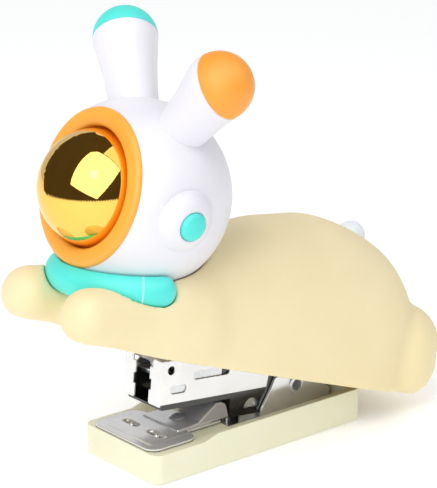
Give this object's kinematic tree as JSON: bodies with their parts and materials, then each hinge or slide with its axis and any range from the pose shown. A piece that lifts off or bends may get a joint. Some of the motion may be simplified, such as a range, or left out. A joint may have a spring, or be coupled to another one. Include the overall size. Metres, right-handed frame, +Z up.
{
  "type": "stapler",
  "caption": "Small desk stapler on a flat base, its press-down cover shaped like a lying rabbit in a round space helmet with a mirrored visor.",
  "frame": {"origin": "middle of the rubber pad's underside, where the stapler stands on the desk", "axes": "+Z up; -X towards the mouth and the rabbit's face, +X towards its tail; +Y is the rabbit's right side"},
  "size_m": [0.1156, 0.0563, 0.1074],
  "materials": {
    "base_plastic": "satin moulded",
    "cover_plastic": "soft-touch matt",
    "helmet_plastic": "soft-touch matt",
    "visor_orange": "soft-touch matt",
    "trim_cyan": "soft-touch matt",
    "visor_gold": "vacuum-plated gold",
    "bright_steel": "nickel plated",
    "spring_steel": "bright wire and strip",
    "black_steel": "gloss black oxide",
    "pad_rubber": "matt",
    "staple_wire": "galvanised, glued in a strip"
  },
  "bodies": {
    "base": {"base_block": "base_plastic", "base_pad": "pad_rubber", "anvil_plate": "bright_steel", "hinge_bracket": "bright_steel", "leaf_spring": "bright_steel", "dome_rivet": "bright_steel", "base_screws": "spring_steel", "hinge_pin": "bright_steel"},
    "magazine": {"magazine_channel": "bright_steel", "rail_carrier": "black_steel", "staple_core": "black_steel", "guide_rod": "spring_steel", "staple_strip": "staple_wire", "pusher_spring": "spring_steel"},
    "pusher": {"pusher": "black_steel"},
    "handle": {"handle_frame": "black_steel", "driver_blade": "spring_steel", "torsion_spring": "spring_steel", "cover_screws": "spring_steel", "body_shell": "cover_plastic", "neck_screws": "spring_steel", "head_shell": "helmet_plastic", "visor_ring": "visor_orange", "visor_dome": "visor_gold", "ear_left": "helmet_plastic", "ear_right": "helmet_plastic", "ear_cap_left": "visor_orange", "ear_cap_right": "trim_cyan", "earphone_cup_left": "helmet_plastic", "earphone_cup_right": "helmet_plastic", "earphone_button_left": "trim_cyan", "earphone_button_right": "trim_cyan", "scarf": "trim_cyan", "tail": "helmet_plastic"}
  },
  "joints": [
    {"name": "magazine_pivot", "type": "hinge", "parent": "base", "child": "magazine", "pos_m": [0.0165, 0, 0.0114], "axis": [0, 1, 0], "range_deg": [-7.5, 0], "stiffness_Nm_per_rad": 1.2, "springref_deg": 6.88, "deforming": ["leaf_spring"]},
    {"name": "handle_pivot", "type": "hinge", "parent": "magazine", "child": "handle", "pos_m": [0.0165, 0, 0.0114], "axis": [0, 1, 0], "range_deg": [-13.5, 50], "stiffness_Nm_per_rad": 1, "springref_deg": 1.72, "deforming": ["torsion_spring"]},
    {"name": "pusher_slide", "type": "slide", "parent": "magazine", "child": "pusher", "axis": [0.9954, 0, -0.0958], "range_m": [0, 0.005], "stiffness_N_per_m": 120, "springref_m": -0.01, "deforming": ["pusher_spring"]}
  ]
}
